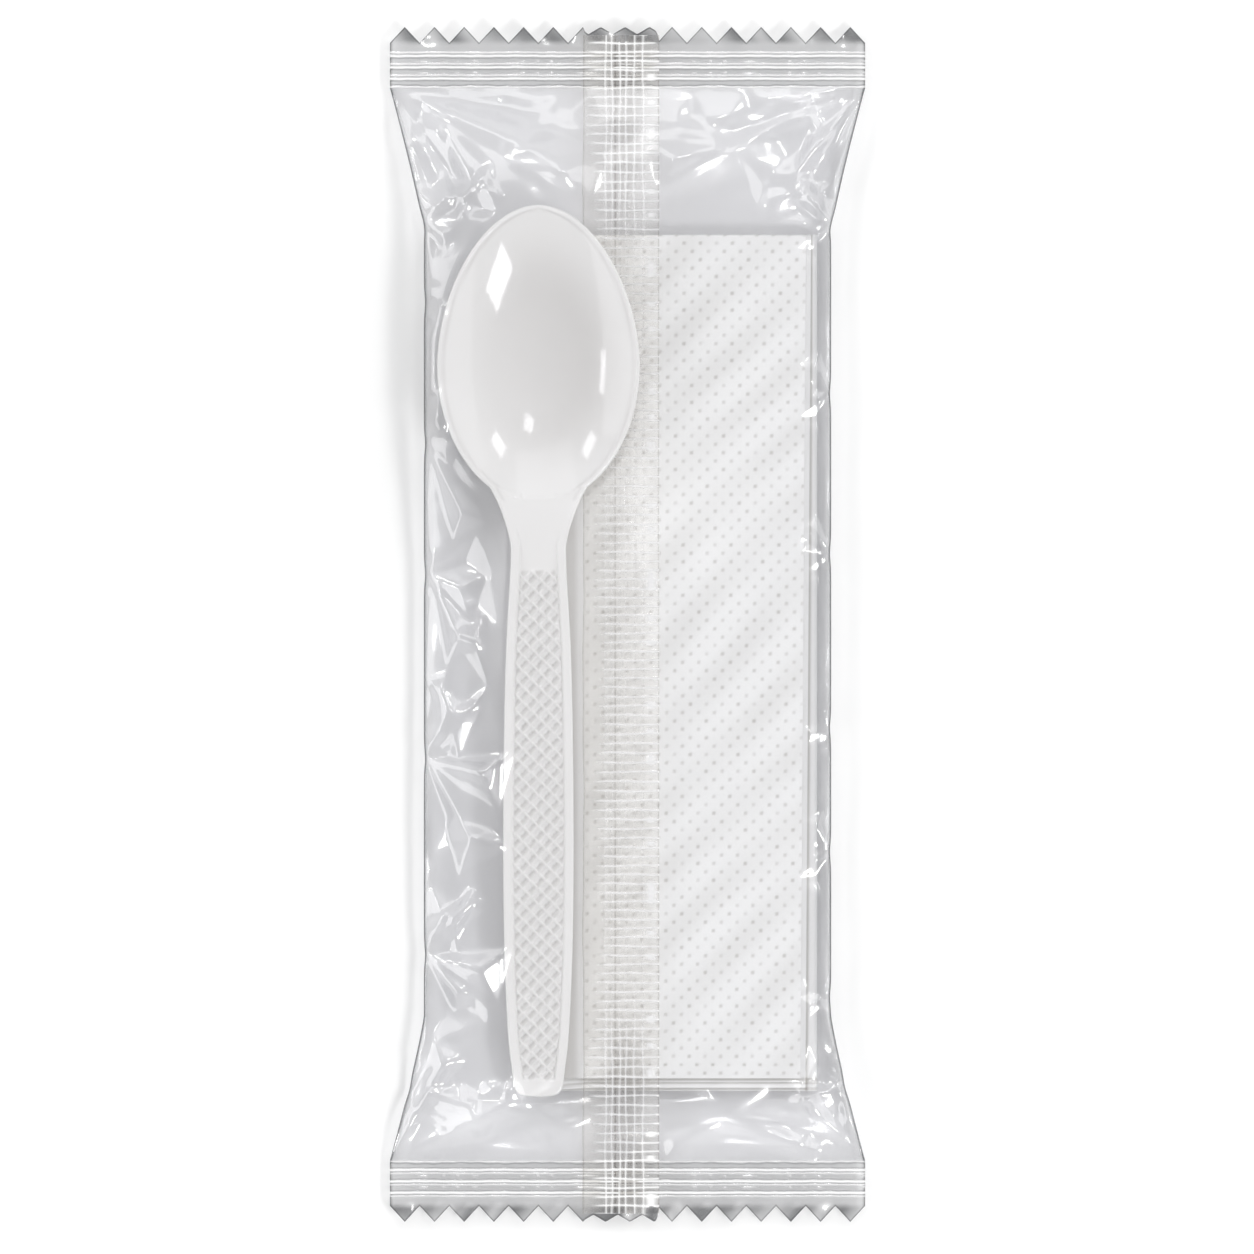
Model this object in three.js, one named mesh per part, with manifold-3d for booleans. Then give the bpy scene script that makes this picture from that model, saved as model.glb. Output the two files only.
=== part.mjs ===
// A flow-wrapped cutlery pack: a clear film pouch that holds a moulded spoon and a folded napkin.
// Millimetres, +Z up from the table, +Y towards the spoon's bowl. The pack lies on its back, and the
// origin is the point of the table under its centre.
import * as THREE from "three";
import { mergeVertices } from "three/addons/utils/BufferGeometryUtils.js";
import Module from "manifold-3d";

const wasm = await Module();
wasm.setup();

// ---- Driving dimensions ----

// The pouch
const PACK_LENGTH = 230.6; // tooth tip to tooth tip
const SEAL_WIDTH = 91.7; // the flattened tube
const WAIST_WIDTH = 78.6; // where the contents round the tube out
const SEAL_DEPTH = 11.8; // an end seal, with its teeth
const TAPER_LENGTH = 28; // from the waist to an end seal
const FILM = 0.3; // one ply, drawn thicker than the real 0.035
const SEAL_HEIGHT = 2.4; // mid-plane of the end seals above the table
const SEAL_HALF = 0.4; // half the thickness of the two plies pressed together
const HOLLOW_END = 1.6; // the hollow stops this far short of a seal
const TEETH = 16; // in each serrated end
const TOOTH_DEPTH = 3.1;
const CRIMP_RIDGES = 3; // across each end seal
const CRIMP_PITCH = 2.2;
const CRIMP_RISE = 0.25; // how far a crimp bends the seal out of its plane
const SQUARENESS = 8; // power of the rounded sides: 2 is an ellipse
const LIFT_LENGTH = 13; // over which the back film rises from the table to a seal
const OVER_BOWL = 1.6; // the front film's height over each of the contents, with its own thickness
const OVER_HANDLE = 1.1;
const OVER_NAPKIN = 1.5;
const DRAPE = { left: 20, right: 10, margin: 0.6 }; // how far beside the spoon the front film settles
const TAPER_POWER = 1.15; // above 1, the sides leave the waist slowly
const ROOF_POWER = 1.3; // the same for the front film, towards the end seals
const CREASE_SHARE = 0.45; // height of the side creases between the back and front film

// The fin: the pouch's long seal, folded in between the spoon and the napkin
const FIN_ROOT_X = 6.1;
const FIN_WIDTH = 14.7;
const FIN_THICKNESS = 0.4;
const FIN_EDGE_Z = 4.2; // its free edge, lying on the napkin
const FIN_LEVEL_TO = 91; // from here, on both sides, its free edge drops to the end seal

// The vent: a pin-hole in the back film that lets the air out as packs are stacked
const VENT = { x: 20, y: -40, radius: 0.6 };

// The napkin: a 330 mm square, quarter-folded and then Z-folded in three
const NAPKIN = { left: -18.4, right: 36.6, bottom: -90, top: 75.2, z: 0.6 };
const PLY_STACK = 0.9; // the four plies of the quarter-folded sheet
const FOLD_GAP = 0.15; // between two panels of the Z-fold
const PANEL_STEP = 2.3; // the top panel's free edge stops this far short of the fold below
const LEAF_STEP = 1.1; // between the top panel's upper and lower leaves

// The spoon
const SPOON_X = -17.2;
const BOWL = { y: 50.1, tip: 81, heel: 23.2, halfWidth: 19.6 };
const BOWL_DEPTH = 6.7;
const BOWL_WALL = 1.3;
const RIM_TOP = 12; // of the bowl, above the table
const RIM_WIDTH = 1;
const RIM_EDGE = 1.2; // thickness of the bowl's edge
const HANDLE_THICKNESS = 2.2;
const HANDLE_END = -91.2;
const NECK_Y = 12; // the neck's narrowest line
const EDGE_BLEND = 20; // from the neck, where the handle's edge thins to the bowl's
const GRIP = { start: 22, end: -89, runIn: 8, recess: 0.5, border: 1.5, slope: 0.6 };
const EGG_SHOULDER = 1.8; // powers that shape the bowl's outline from its widest line to its tip
const EGG_TIP = 0.526;
const UNDERSIDE_POWER = 2.2; // above 2, the bowl's underside is flatter in the middle than its hollow
const EDGE_ROUNDING = 0.35; // taken off the spoon's upper edges

const BODY_HALF = PACK_LENGTH / 2 - SEAL_DEPTH;
const NAPKIN_TOP = NAPKIN.z + 3 * PLY_STACK + 2 * FOLD_GAP;

// ---- Helpers ----

const clamp = (t) => Math.min(Math.max(t, 0), 1);
const ease = (t) => clamp(t) ** 2 * (3 - 2 * clamp(t));
const mix = (a, b, t) => a + (b - a) * t;

// A smooth curve y(x) through a few points, listed by rising x.
function throughPoints(points) {
  const spline = new THREE.SplineCurve(points.map(([x, y]) => new THREE.Vector2(x, y)));
  const samples = spline.getPoints(200);
  return (x) => {
    const after = samples.findIndex((p) => p.x >= x);
    if (after < 0) return samples.at(-1).y;
    if (after === 0) return samples[0].y;
    const [a, b] = [samples[after - 1], samples[after]];
    return mix(a.y, b.y, (x - a.x) / (b.x - a.x));
  };
}

// Steps across a width from -1 to 1, closer together towards both edges.
const acrossSteps = (count) =>
  Array.from({ length: count + 1 }, (_, i) => Math.sin((Math.PI / 2) * ((2 * i) / count - 1)));

// A closed body through rings of points, each ring one closed outline, with a flat fan over each end.
function lofted(rings) {
  const size = rings[0].length;
  const positions = rings.flat().flatMap((p) => p.toArray());
  const index = [];
  for (let r = 0; r + 1 < rings.length; r++)
    for (let i = 0; i < size; i++) {
      const j = (i + 1) % size;
      const [a, b, c, d] = [r * size + i, r * size + j, (r + 1) * size + j, (r + 1) * size + i];
      index.push(a, b, c, a, c, d);
    }
  for (const [r, turned] of [[0, true], [rings.length - 1, false]]) {
    const centre = positions.length / 3;
    const middle = rings[r].reduce((sum, p) => sum.add(p), new THREE.Vector3()).divideScalar(size);
    positions.push(...middle.toArray());
    for (let i = 0; i < size; i++) {
      const [a, b] = [r * size + i, r * size + ((i + 1) % size)];
      index.push(...(turned ? [centre, b, a] : [centre, a, b]));
    }
  }
  const geometry = new THREE.BufferGeometry();
  geometry.setAttribute("position", new THREE.Float32BufferAttribute(positions, 3));
  return geometry.setIndex(index);
}

// One cross-section ring: left to right along the top, then back along the underside.
function crossSection(y, steps, top, under) {
  const over = steps.map((u) => new THREE.Vector3(...top(u)).setY(y));
  const back = steps.slice(1, -1).reverse().map((u) => new THREE.Vector3(...under(u)).setY(y));
  return [...over, ...back];
}

// A geometry as a manifold-3d solid. It turns a geometry that came out inside out the right way round.
function solid(geometry) {
  const bare = geometry.clone();
  bare.deleteAttribute("normal");
  bare.deleteAttribute("uv");
  const merged = mergeVertices(bare, 1e-4);
  const triVerts = new Uint32Array(merged.index.array);
  const vertProperties = merged.attributes.position.array;
  const made = new wasm.Manifold(new wasm.Mesh({ numProp: 3, vertProperties, triVerts }));
  if (made.volume() > 0) return made;
  return new wasm.Manifold(new wasm.Mesh({ numProp: 3, vertProperties, triVerts: triVerts.reverse() }));
}

// A manifold-3d solid as a geometry.
function geometryOf(body) {
  const mesh = body.getMesh();
  const geometry = new THREE.BufferGeometry();
  geometry.setAttribute("position", new THREE.BufferAttribute(mesh.vertProperties, 3));
  geometry.setIndex(new THREE.BufferAttribute(mesh.triVerts, 1));
  return geometry;
}

// A box given by its corners.
function boxBetween(low, high) {
  const size = high.map((v, i) => v - low[i]);
  const centre = high.map((v, i) => (v + low[i]) / 2);
  return solid(new THREE.BoxGeometry(...size).translate(...centre));
}

// ---- The spoon's form ----

const NECK_TOP = 27; // where the neck has opened out into the bowl
const neckAndHandle = throughPoints([
  [HANDLE_END, 2.3], [HANDLE_END + 1.2, 4], [-86.5, 5], [-78, 5.95], [-58, 6.7], [-30, 6.75],
  [-6, 6.3], [NECK_Y, 5.37], [17, 5.7], [22.9, 7.6], [NECK_TOP, 9.7],
]);
const spineTop = throughPoints([
  [HANDLE_END, 6.3], [-70, 6.9], [-40, 8.3], [-10, 10.3], [12, 11.6], [26, RIM_TOP], [40, RIM_TOP],
]);

// How far along the bowl from its widest line to its tip or heel, 0 to 1.
const alongBowl = (y) =>
  y > BOWL.y ? (y - BOWL.y) / (BOWL.tip - BOWL.y) : (BOWL.y - y) / (BOWL.y - BOWL.heel);

// Half the spoon's width at y: an egg with a slightly pointed tip, running into the neck.
function spoonHalfWidth(y) {
  if (y > BOWL.y) return BOWL.halfWidth * (1 - alongBowl(y) ** EGG_SHOULDER) ** EGG_TIP;
  const egg = y > BOWL.heel ? BOWL.halfWidth * Math.sqrt(1 - alongBowl(y) ** 2) : 0;
  return Math.max(egg, neckAndHandle(Math.min(y, NECK_TOP)));
}

// How far out from the bowl's deepest point a place is, 1 at an edge that is inset from the outline.
function bowlRadius(x, y, inset) {
  const half = BOWL.halfWidth - inset;
  const long = (y > BOWL.y ? BOWL.tip - BOWL.y : BOWL.y - BOWL.heel) - inset;
  return Math.hypot(x / half, (y - BOWL.y) / long);
}

function spoonTop(x, y) {
  const hollow = BOWL_DEPTH * (1 - clamp(bowlRadius(x, y, RIM_WIDTH)) ** 2);
  const fromBorder = spoonHalfWidth(y) - GRIP.border - Math.abs(x);
  const runIn = ease((GRIP.start - y) / GRIP.runIn);
  const recess = y > GRIP.end ? GRIP.recess * runIn * ease(fromBorder / GRIP.slope) : 0;
  return spineTop(y) - hollow - recess;
}

function spoonUnder(x, y) {
  const edge = mix(HANDLE_THICKNESS, RIM_EDGE, ease((y - NECK_Y) / EDGE_BLEND));
  const deepest = BOWL_DEPTH + BOWL_WALL - RIM_EDGE;
  return spineTop(y) - edge - deepest * (1 - clamp(bowlRadius(x, y, 0)) ** UNDERSIDE_POWER);
}

function spoonGeometry() {
  const steps = [-1, -0.94, -0.84, -0.73, -0.6, -0.42, -0.22, 0, 0.22, 0.42, 0.6, 0.73, 0.84, 0.94, 1];
  const bowlStations = Array.from({ length: 27 }, (_, i) => {
    const turn = (Math.PI * i) / 26;
    const reach = turn < Math.PI / 2 ? BOWL.tip - BOWL.y - 0.03 : BOWL.y - BOWL.heel - 0.4;
    return BOWL.y + reach * Math.cos(turn);
  });
  const neckStations = [21, 19, 17, 15, 12, 9, 4, -2, -10, -20, -30, -42, -54, -66, -74, -80, -84];
  const endStations = [-86.5, GRIP.end + 0.5, GRIP.end, HANDLE_END + 1.2, HANDLE_END + 0.4, HANDLE_END];
  const stations = [...bowlStations, ...neckStations, ...endStations];
  const rings = stations.map((y) => {
    const half = spoonHalfWidth(y);
    const rounding = (u) => (Math.abs(u) === 1 ? EDGE_ROUNDING : 0);
    const top = (u) => [SPOON_X + u * half, 0, spoonTop(u * half, y) - rounding(u)];
    const under = (u) => [SPOON_X + u * half, 0, spoonUnder(u * half, y)];
    return crossSection(y, steps, top, under);
  });
  return geometryOf(solid(lofted(rings)));
}

// ---- The napkin ----

// The Z-fold seen along the pack: three panels joined by a round fold at each side in turn.
function napkinSection() {
  const pitch = PLY_STACK + FOLD_GAP;
  const outer = PLY_STACK + FOLD_GAP / 2;
  const inner = FOLD_GAP / 2;
  const [low, mid, high] = [0, pitch, 2 * pitch];
  const foldRight = NAPKIN.right - outer;
  const foldLeft = NAPKIN.left + outer;
  const topEdge = NAPKIN.right - PANEL_STEP;
  const shape = new THREE.Shape();
  shape.moveTo(NAPKIN.left + 1, low);
  shape.lineTo(foldRight, low);
  shape.absarc(foldRight, outer, outer, -Math.PI / 2, Math.PI / 2, false);
  shape.lineTo(foldLeft, mid + PLY_STACK);
  shape.absarc(foldLeft, high - inner, inner, -Math.PI / 2, Math.PI / 2, true);
  shape.lineTo(topEdge, high);
  shape.lineTo(topEdge, high + PLY_STACK);
  shape.lineTo(foldLeft, high + PLY_STACK);
  shape.absarc(foldLeft, high - inner, outer, Math.PI / 2, (3 * Math.PI) / 2, false);
  shape.lineTo(foldRight, mid);
  shape.absarc(foldRight, outer, inner, Math.PI / 2, -Math.PI / 2, true);
  shape.lineTo(NAPKIN.left + 1, PLY_STACK);
  return shape;
}

function napkinGeometry() {
  const options = { depth: NAPKIN.top - NAPKIN.bottom, bevelEnabled: false, curveSegments: 5 };
  const stack = new THREE.ExtrudeGeometry(napkinSection(), options);
  stack.rotateX(Math.PI / 2).translate(0, NAPKIN.top, NAPKIN.z);
  const panel = NAPKIN.z + 2 * (PLY_STACK + FOLD_GAP);
  const leaf = panel + PLY_STACK / 2;
  const beyond = NAPKIN.right + 1;
  // The top panel is shorter than the folds below it, and its upper leaves shorter again.
  const shorten = (low, y, x) => [
    boxBetween([NAPKIN.left - 1, NAPKIN.bottom - 1, low], [beyond, y, NAPKIN_TOP + 1]),
    boxBetween([x, NAPKIN.bottom - 1, low], [beyond, NAPKIN.top + 1, NAPKIN_TOP + 1]),
  ];
  const cuts = [
    ...shorten(panel - FOLD_GAP / 2, NAPKIN.bottom + LEAF_STEP, NAPKIN.right - PANEL_STEP + 0.01),
    ...shorten(leaf, NAPKIN.bottom + 2 * LEAF_STEP, NAPKIN.right - PANEL_STEP - LEAF_STEP),
  ];
  return geometryOf(cuts.reduce((body, cut) => body.subtract(cut), solid(stack)));
}

// ---- The film pouch ----

// Half the pouch's width at y: narrow round the contents, full width at the seals.
function pouchHalfWidth(y) {
  const t = clamp((Math.abs(y) - BODY_HALF + TAPER_LENGTH) / TAPER_LENGTH);
  return mix(WAIST_WIDTH, SEAL_WIDTH, t ** TAPER_POWER) / 2;
}

// The back film's height: flat on the table, lifting towards the end seals.
const pouchFloor = (y) =>
  (SEAL_HEIGHT - FILM) * ease((Math.abs(y) - BODY_HALF + LIFT_LENGTH) / LIFT_LENGTH);

// The front film's height over the contents, before its sides roll under.
function overContents(x, y) {
  const napkin = NAPKIN_TOP + OVER_NAPKIN;
  const dx = x - SPOON_X;
  const settle = (distance, reach) => 0.5 + 0.5 * Math.cos(Math.PI * clamp(distance / reach));
  const reach = dx > 0 ? DRAPE.right : DRAPE.left;
  const bowl = (bowlRadius(dx, y, 0) - 1) * BOWL.halfWidth - DRAPE.margin;
  const handle = Math.abs(dx) - spoonHalfWidth(Math.min(y, NECK_Y)) - DRAPE.margin;
  const overBowl = mix(napkin, RIM_TOP + OVER_BOWL, settle(bowl, reach));
  const overHandle = mix(napkin, spineTop(y) + OVER_HANDLE, settle(handle, reach));
  return y > BOWL.y ? overBowl : Math.max(overBowl, overHandle);
}

function pouchRoof(x, y) {
  const held = THREE.MathUtils.clamp(y, HANDLE_END - 0.5, BOWL.tip + 1);
  const past = Math.abs(y - held) / (BODY_HALF - Math.abs(held));
  return mix(overContents(x, held), SEAL_HEIGHT + FILM, clamp(past) ** ROOF_POWER);
}

// A ring of the pouch's wall at y, moved inwards by inset.
function pouchRing(y, steps, inset) {
  const half = pouchHalfWidth(y);
  const floor = pouchFloor(y);
  const side = (u) => (1 - Math.abs(u) ** SQUARENESS) ** (1 / SQUARENESS);
  const crease = (u) => mix(floor, pouchRoof(Math.sign(u) * half, y), CREASE_SHARE);
  const top = (u) => {
    const roof = pouchRoof(u * half, y);
    return [u * (half - inset), 0, mix(crease(u), roof - inset, side(u))];
  };
  const under = (u) => [u * (half - inset), 0, mix(crease(u), floor + inset, side(u))];
  return crossSection(y, steps, top, under);
}

function pouchLoft(inset, reach) {
  const steps = acrossSteps(26);
  const count = 38;
  const stations = Array.from({ length: count + 1 }, (_, i) => {
    const s = (2 * i) / count - 1;
    return reach * mix(s, Math.sin((Math.PI / 2) * s), 0.45);
  });
  return solid(lofted(stations.map((y) => pouchRing(y, steps, inset)).reverse()));
}

// The fin hangs from the front film at its root and lies over the napkin, under the spoon.
function finSolid() {
  const steps = [0, 0.2, 0.4, 0.6, 0.8, 1];
  const reach = BODY_HALF + 2;
  const count = 30;
  const rings = Array.from({ length: count + 1 }, (_, i) => {
    const y = reach * (1 - (2 * i) / count);
    const inBody = Math.min(Math.abs(y), BODY_HALF);
    const free = 1 - ease((inBody - FIN_LEVEL_TO) / (BODY_HALF - FIN_LEVEL_TO));
    const root = pouchRoof(FIN_ROOT_X, Math.sign(y) * inBody) - FILM / 2;
    const edge = mix(SEAL_HEIGHT + FIN_THICKNESS / 2, FIN_EDGE_Z + FIN_THICKNESS, free);
    const height = (s) => mix(root, edge, 1 - (1 - s) ** 2.2);
    const top = (s) => [FIN_ROOT_X - s * FIN_WIDTH, 0, height(s)];
    const under = (s) => [FIN_ROOT_X - s * FIN_WIDTH, 0, height(s) - FIN_THICKNESS];
    const over = steps.map((s) => new THREE.Vector3(...top(s)).setY(y));
    const back = [...steps].reverse().map((s) => new THREE.Vector3(...under(s)).setY(y));
    return [...over, ...back];
  });
  return solid(lofted(rings));
}

// An end seal: a corrugated strip of two plies, trimmed to a row of teeth. It points along +Y.
function endSeal() {
  const inner = BODY_HALF - 0.6;
  const outer = PACK_LENGTH / 2;
  const firstRidge = BODY_HALF + 1.6;
  const lastRidge = firstRidge + (CRIMP_RIDGES - 1) * CRIMP_PITCH;
  const corrugation = (y) => {
    const inCrimp = y > firstRidge - CRIMP_PITCH / 2 && y < lastRidge + CRIMP_PITCH / 2;
    const wave = 0.5 + 0.5 * Math.cos((2 * Math.PI * (y - firstRidge)) / CRIMP_PITCH);
    return inCrimp ? CRIMP_RISE * wave : 0;
  };
  const count = 24;
  const along = Array.from({ length: count + 1 }, (_, i) => mix(inner, outer, i / count));
  const section = new THREE.Shape([
    ...along.map((y) => new THREE.Vector2(y, corrugation(y) + SEAL_HALF)),
    ...along.reverse().map((y) => new THREE.Vector2(y, corrugation(y) - SEAL_HALF)),
  ]);
  const strip = new THREE.ExtrudeGeometry(section, { depth: SEAL_WIDTH, bevelEnabled: false });
  // The section's own axes become the pack's Y and Z, and it is extruded along X.
  const toPack = new THREE.Matrix4().set(0, 0, 1, -SEAL_WIDTH / 2, 1, 0, 0, 0, 0, 1, 0, 0, 0, 0, 0, 1);
  strip.applyMatrix4(toPack);
  const pitch = SEAL_WIDTH / TEETH;
  const outline = [new THREE.Vector2(SEAL_WIDTH / 2, inner - 1), new THREE.Vector2(-SEAL_WIDTH / 2, inner - 1)];
  for (let tooth = 0; tooth < TEETH; tooth++) {
    const left = -SEAL_WIDTH / 2 + tooth * pitch;
    outline.push(new THREE.Vector2(left, outer - TOOTH_DEPTH));
    outline.push(new THREE.Vector2(left + pitch / 2, outer));
  }
  outline.push(new THREE.Vector2(SEAL_WIDTH / 2, outer - TOOTH_DEPTH));
  const blank = new THREE.ExtrudeGeometry(new THREE.Shape(outline), { depth: 4, bevelEnabled: false });
  return solid(strip).intersect(solid(blank.translate(0, 0, -2))).translate([0, 0, SEAL_HEIGHT]);
}

function wrapperGeometry() {
  const outside = pouchLoft(0, BODY_HALF);
  const inside = pouchLoft(FILM, BODY_HALF - HOLLOW_END);
  // The space beside the fin is one hollow. Slivers between the fin and the film are sealed shut.
  const hollows = inside.subtract(finSolid()).decompose();
  const hollow = hollows.sort((a, b) => b.volume() - a.volume())[0];
  const seal = endSeal();
  const vent = new THREE.CylinderGeometry(VENT.radius, VENT.radius, 1, 12).rotateX(Math.PI / 2);
  const pouch = outside
    .add(seal)
    .add(seal.rotate([0, 0, 180]))
    .subtract(hollow)
    .subtract(solid(vent.translate(VENT.x, VENT.y, 0)));
  return geometryOf(pouch.simplify(0.01));
}

// ---- The scene graph ----

const FILM_CLEAR = { color: 0xe9ecef, roughness: 0.08, metalness: 0, transparent: true, opacity: 0.3 };
const SPOON_PLASTIC = { color: 0xf4f2ee, roughness: 0.2, metalness: 0 };
const TISSUE = { color: 0xfafafa, roughness: 0.95, metalness: 0 };

function part(name, geometry, look) {
  const mesh = new THREE.Mesh(geometry, new THREE.MeshStandardMaterial(look));
  mesh.name = name;
  return mesh;
}

const pack = new THREE.Group();
pack.add(part("film_wrapper", wrapperGeometry(), FILM_CLEAR));
pack.add(part("spoon", spoonGeometry(), SPOON_PLASTIC));
pack.add(part("napkin", napkinGeometry(), TISSUE));

export default pack;
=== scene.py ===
# %% [markdown]
# # A flow-wrapped cutlery pack
# A spoon and a folded paper napkin lie side by side in a clear film pouch. The pouch is one web of film:
# it is wrapped round the contents, sealed to itself down its length, and crimped shut at both ends.
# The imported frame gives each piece's size and place, so each new piece starts from the box of its node.

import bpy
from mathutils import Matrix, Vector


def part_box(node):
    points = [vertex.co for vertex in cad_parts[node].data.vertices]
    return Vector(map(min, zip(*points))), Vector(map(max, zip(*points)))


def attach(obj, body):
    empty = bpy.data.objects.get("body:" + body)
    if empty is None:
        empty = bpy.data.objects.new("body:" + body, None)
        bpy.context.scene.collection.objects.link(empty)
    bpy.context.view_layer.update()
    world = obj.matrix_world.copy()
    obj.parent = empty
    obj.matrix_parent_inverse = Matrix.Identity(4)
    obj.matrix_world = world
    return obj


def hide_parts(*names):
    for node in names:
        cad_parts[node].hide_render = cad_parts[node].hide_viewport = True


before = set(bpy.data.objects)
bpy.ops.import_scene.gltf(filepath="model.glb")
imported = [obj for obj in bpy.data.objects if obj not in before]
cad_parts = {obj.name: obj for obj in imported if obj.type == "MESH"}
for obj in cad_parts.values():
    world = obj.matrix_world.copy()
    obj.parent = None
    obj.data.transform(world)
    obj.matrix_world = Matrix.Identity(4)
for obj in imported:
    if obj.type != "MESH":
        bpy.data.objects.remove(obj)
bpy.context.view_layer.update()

# %% Units and tools
import math

import bpy
import numpy as np
from mathutils import Vector
from mathutils.geometry import delaunay_2d_cdt

MM = 0.001


def box_mm(node):
    """A node's lowest and highest corners, in millimetres."""
    return [np.array(corner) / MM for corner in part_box(node)]


def ease(t):
    """0 to 1 with a soft start and a soft end."""
    t = np.clip(t, 0, 1)
    return t * t * (3 - 2 * t)


def mix(a, b, t):
    """From a to b as t goes from 0 to 1."""
    return a + (b - a) * t


def bump(distance, width):
    """1 on a line or a point, falling softly to 0 over about that width."""
    return np.exp(-((distance / width) ** 2))


def through_points(points):
    """A smooth curve y(x) through a few points, listed by rising x."""
    known = np.array(points, float)
    padded = np.vstack([2 * known[0] - known[1], known, 2 * known[-1] - known[-2]])
    steps = np.linspace(0, 1, 24, endpoint=False)[:, None]
    runs = []
    for a, b, c, d in zip(padded, padded[1:], padded[2:], padded[3:]):
        tangents = steps * (c - a) + steps**2 * (2 * a - 5 * b + 4 * c - d)
        runs.append(b + 0.5 * (tangents + steps**3 * (3 * b - a - 3 * c + d)))
    samples = np.vstack([*runs, known[-1:]])
    return lambda x: np.interp(x, samples[:, 0], samples[:, 1])


# %% Making a sheet of points
def flat_grid(name, columns, rows):
    """A flat grid primitive with that many points each way."""
    bpy.ops.object.select_all(action="DESELECT")
    bpy.ops.mesh.primitive_grid_add(x_subdivisions=columns - 1, y_subdivisions=rows - 1, size=1)
    piece = bpy.context.object
    piece.name = piece.data.name = name
    return piece


def place_points(piece, x, y, z):
    """Moves a piece's points, row by row, to places in millimetres."""
    points = np.stack(np.broadcast_arrays(x, y, z), axis=-1).reshape(-1, 3)
    piece.data.vertices.foreach_set("co", (points * MM).ravel())
    piece.data.update()


def paint(piece, name, values):
    """Keeps one number for each point, for a material to read."""
    layer = piece.data.attributes.new(name, "FLOAT", "POINT")
    layer.data.foreach_set("value", values.ravel())


def close_up(piece):
    """Merges points that met, turns the faces outwards and shades them smooth."""
    bpy.ops.object.select_all(action="DESELECT")
    piece.select_set(True)
    bpy.context.view_layer.objects.active = piece
    bpy.ops.object.mode_set(mode="EDIT")
    bpy.ops.mesh.select_all(action="SELECT")
    bpy.ops.mesh.remove_doubles(threshold=0.00001)
    bpy.ops.mesh.normals_make_consistent(inside=False)
    bpy.ops.object.mode_set(mode="OBJECT")
    bpy.ops.object.shade_smooth()
    print(piece.name, len(piece.data.vertices), "points", len(piece.data.polygons), "faces")


# %% Colours and shader nodes
def srgb(colour):
    """A hex colour as the linear numbers that shaders use."""
    channels = [int(colour[i : i + 2], 16) / 255 for i in (1, 3, 5)]
    linear = [c / 12.92 if c <= 0.04045 else ((c + 0.055) / 1.055) ** 2.4 for c in channels]
    return (*linear, 1)


def add_node(tree, kind, inputs=(), **settings):
    """Adds a node with its settings. An input is a value, or another node's output."""
    made = tree.nodes.new(kind)
    for name, value in settings.items():
        setattr(made, name, value)
    for name, value in dict(inputs).items():
        if isinstance(value, bpy.types.NodeSocket):
            tree.links.new(value, made.inputs[name])
        else:
            made.inputs[name].default_value = value
    return made


def new_material(name):
    """A material with an empty node tree, and that tree."""
    material = bpy.data.materials.new(name)
    material.use_nodes = True
    material.node_tree.nodes.clear()
    return material, material.node_tree


# %% [markdown]
# ## The camera and the studio
# The pack is seen from straight above, with no perspective. The floor is pale and lit to white. One key
# softbox, four small bright ones and three broad dim ones stand round it: clear film shows mainly by
# what it reflects, so the small ones draw its creases and the hollow of the spoon, and the broad ones
# shade its slopes. The rest of the room is brighter beyond the pack's two ends than above it.

# %% Camera
FIELD_MM = 242  # side of the square that the camera sees
CENTRE_MM = (-0.1, -0.5)  # the middle of that square
CAMERA_HEIGHT = 0.8

bpy.ops.object.select_all(action="DESELECT")
above = (CENTRE_MM[0] * MM, CENTRE_MM[1] * MM, CAMERA_HEIGHT)
bpy.ops.object.camera_add(location=above, rotation=(0, 0, 0))
camera = bpy.context.object
camera.name = "camera"
camera.data.type = "ORTHO"
camera.data.ortho_scale = FIELD_MM * MM
bpy.context.scene.camera = camera
bpy.context.scene.view_settings.view_transform = "Standard"
print("the camera sees", FIELD_MM, "mm each way")

# %% Floor
FLOOR_SIZE = 4
FLOOR_Z = -0.0002  # just under the pack, so that the two don't share a plane

bpy.ops.object.select_all(action="DESELECT")
bpy.ops.mesh.primitive_plane_add(size=FLOOR_SIZE, location=(0, 0, FLOOR_Z))
floor = bpy.context.object
floor.name = "floor"
floor_paper, tree = new_material("pale_paper_backdrop")
paper = add_node(tree, "ShaderNodeBsdfDiffuse", {"Color": srgb("#f6f6f6")})
add_node(tree, "ShaderNodeOutputMaterial", {"Surface": paper.outputs[0]})
floor.data.materials.append(floor_paper)
print("the floor is", FLOOR_SIZE, "m square")

# %% Lights
SOFTBOXES = [
    # name, direction from the pack, width and height of each seen from 1 m, brightness
    ("key", (0.505, -0.406, 0.76), (0.31, 0.21), 15),
    ("back", (0.118, 0.44, 0.891), (0.12, 0.12), 10),
    ("back_right", (0.482, 0.548, 0.682), (0.17, 0.1), 10),
    ("back_left", (-0.613, 0.525, 0.59), (0.17, 0.09), 10),
    ("left_strip", (-0.78, 0.094, 0.616), (0.24, 0.06), 10),
    ("back_fill", (-0.1, 0.74, 0.66), (0.75, 0.4), 1.2),
    ("left_wall", (-0.93, -0.15, 0.42), (1.3, 0.5), 1.8),
    ("right_wall", (0.93, 0.15, 0.42), (1.3, 0.5), 1.1),
]
LIGHT_DISTANCE = 1.3


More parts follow.
